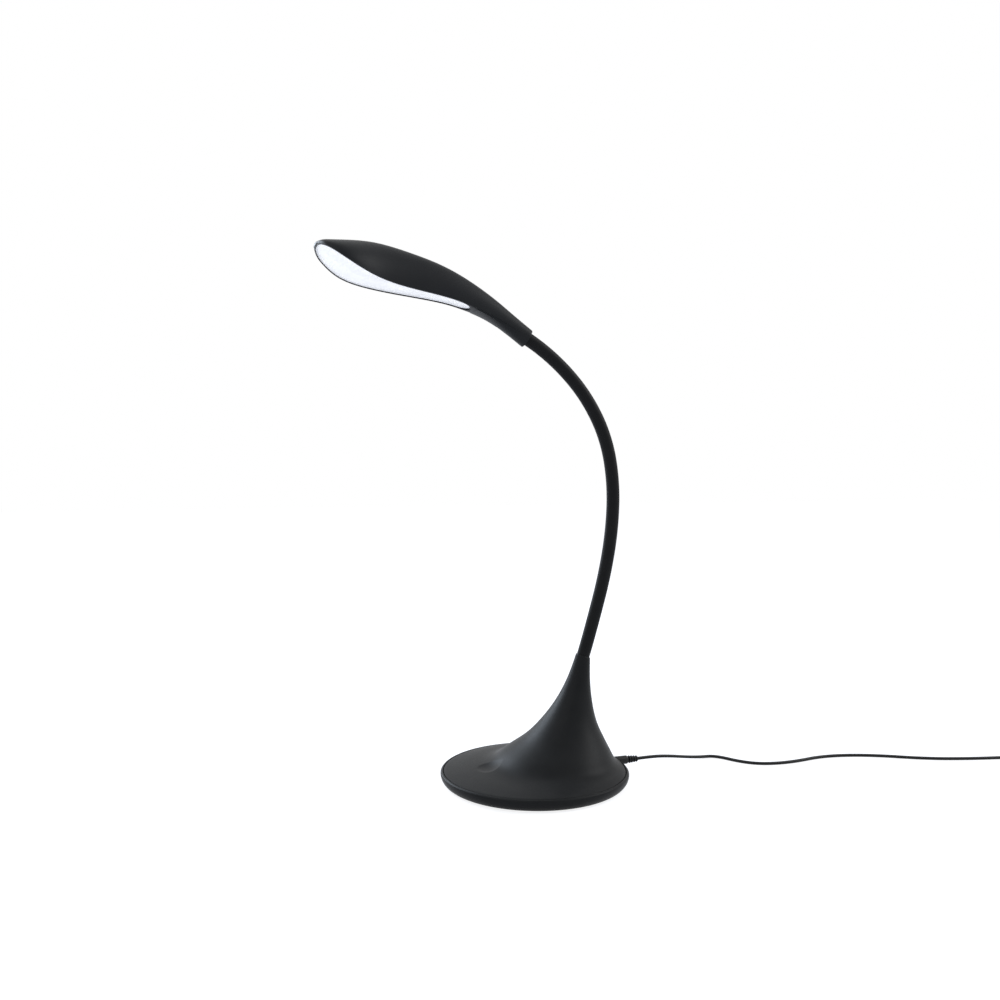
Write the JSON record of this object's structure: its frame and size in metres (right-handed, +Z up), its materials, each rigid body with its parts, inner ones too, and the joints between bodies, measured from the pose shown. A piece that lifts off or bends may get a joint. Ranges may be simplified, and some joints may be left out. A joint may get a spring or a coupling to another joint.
{
  "type": "gooseneck desk lamp",
  "caption": "Gooseneck LED desk lamp: weighted disc base that sweeps up into a leaning horn, sleeved flexible neck, petal-shaped head with a flat light panel, low-voltage lead and adapter.",
  "frame": {"origin": "centre of the round base on the table, at the underside of its foot pad", "axes": "+Z up; -X towards the lamp head; +X towards the low-voltage plug at the back; the lamp is symmetrical about the XZ plane"},
  "size_m": [0.7529, 0.3385, 0.4897],
  "materials": {
    "housing_black": "soft-touch moulded plastic",
    "pad_foam": "die-cut foam pad",
    "cast_iron": "cast and painted",
    "steel": "zinc plated",
    "board_green": "solder mask on glass-fibre board",
    "component_black": "moulded component bodies",
    "copper_foil": "copper foil",
    "silicone_black": "extruded silicone sleeve",
    "core_steel": "wound steel gooseneck core",
    "wire_pvc": "PVC insulated wire",
    "frame_white": "white moulded plastic",
    "diffuser_opal": "opal acrylic sheet",
    "led_yellow": "phosphor-filled LED packages",
    "aluminium": "sheet aluminium",
    "brass_bush": "turned brass",
    "plug_black": "overmoulded PVC",
    "nickel": "nickel plated",
    "cord_black": "extruded PVC lead",
    "adapter_black": "moulded case"
  },
  "bodies": {
    "base": {"base_tub": "housing_black", "base_cover": "housing_black", "foot_pad": "pad_foam", "ballast_disc": "cast_iron", "base_screws": "steel", "control_board": "board_green", "board_parts": "component_black", "board_screws": "steel", "touch_sensor": "copper_foil", "dc_jack": "component_black", "base_leads": "wire_pvc", "neck_ferrule": "core_steel", "neck_nut": "steel", "neck_sleeve_0": "silicone_black", "plug_body": "plug_black", "plug_pin": "nickel", "cord_tube": "cord_black", "cord_coil": "cord_black", "cord_tail": "cord_black", "cord_ties": "plug_black", "adapter_case": "adapter_black", "adapter_pins": "nickel", "adapter_relief": "plug_black"},
    "neck_1": {"neck_sleeve_1": "silicone_black", "neck_core_1": "core_steel", "neck_lead_1": "wire_pvc"},
    "neck_2": {"neck_sleeve_2": "silicone_black", "neck_core_2": "core_steel", "neck_lead_2": "wire_pvc"},
    "neck_3": {"neck_sleeve_3": "silicone_black", "neck_core_3": "core_steel", "neck_lead_3": "wire_pvc"},
    "neck_4": {"neck_sleeve_4": "silicone_black", "neck_core_4": "core_steel", "neck_lead_4": "wire_pvc"},
    "neck_5": {"neck_sleeve_5": "silicone_black", "neck_core_5": "core_steel", "neck_lead_5": "wire_pvc"},
    "neck_6": {"neck_sleeve_6": "silicone_black", "neck_core_6": "core_steel", "neck_lead_6": "wire_pvc"},
    "neck_7": {"neck_sleeve_7": "silicone_black", "neck_core_7": "core_steel", "neck_lead_7": "wire_pvc"},
    "head": {"neck_sleeve_8": "silicone_black", "neck_core_8": "core_steel", "head_shell": "housing_black", "shank_cover": "housing_black", "light_frame": "frame_white", "diffuser": "diffuser_opal", "led_board": "frame_white", "leds": "led_yellow", "heat_spreader": "aluminium", "head_screws": "steel", "head_bush": "brass_bush", "head_leads": "wire_pvc"}
  },
  "joints": [
    {"name": "neck_nod_1", "type": "hinge", "parent": "base", "child": "neck_1", "pos_m": [0.05311, 0, 0.12845], "axis": [0, -1, 0], "range_deg": [-18, 18]},
    {"name": "neck_swing_2", "type": "hinge", "parent": "neck_1", "child": "neck_2", "pos_m": [0.06514, 0, 0.17025], "axis": [-0.9643, 0, 0.2647], "range_deg": [-18, 18]},
    {"name": "neck_nod_3", "type": "hinge", "parent": "neck_2", "child": "neck_3", "pos_m": [0.07462, 0, 0.21269], "axis": [0, -1, 0], "range_deg": [-18, 18]},
    {"name": "neck_swing_4", "type": "hinge", "parent": "neck_3", "child": "neck_4", "pos_m": [0.07913, 0, 0.25592], "axis": [-0.9994, 0, 0.0358], "range_deg": [-18, 18]},
    {"name": "neck_nod_5", "type": "hinge", "parent": "neck_4", "child": "neck_5", "pos_m": [0.07614, 0, 0.29924], "axis": [0, -1, 0], "range_deg": [-18, 18]},
    {"name": "neck_swing_6", "type": "hinge", "parent": "neck_5", "child": "neck_6", "pos_m": [0.06221, 0, 0.34027], "axis": [-0.8866, 0, -0.4625], "range_deg": [-18, 18]},
    {"name": "neck_nod_7", "type": "hinge", "parent": "neck_6", "child": "neck_7", "pos_m": [0.03721, 0, 0.37571], "axis": [0, -1, 0], "range_deg": [-18, 18]},
    {"name": "neck_swing_8", "type": "hinge", "parent": "neck_7", "child": "head", "pos_m": [0.00439, 0, 0.40414], "axis": [-0.5686, 0, -0.8226], "range_deg": [-18, 18]}
  ]
}
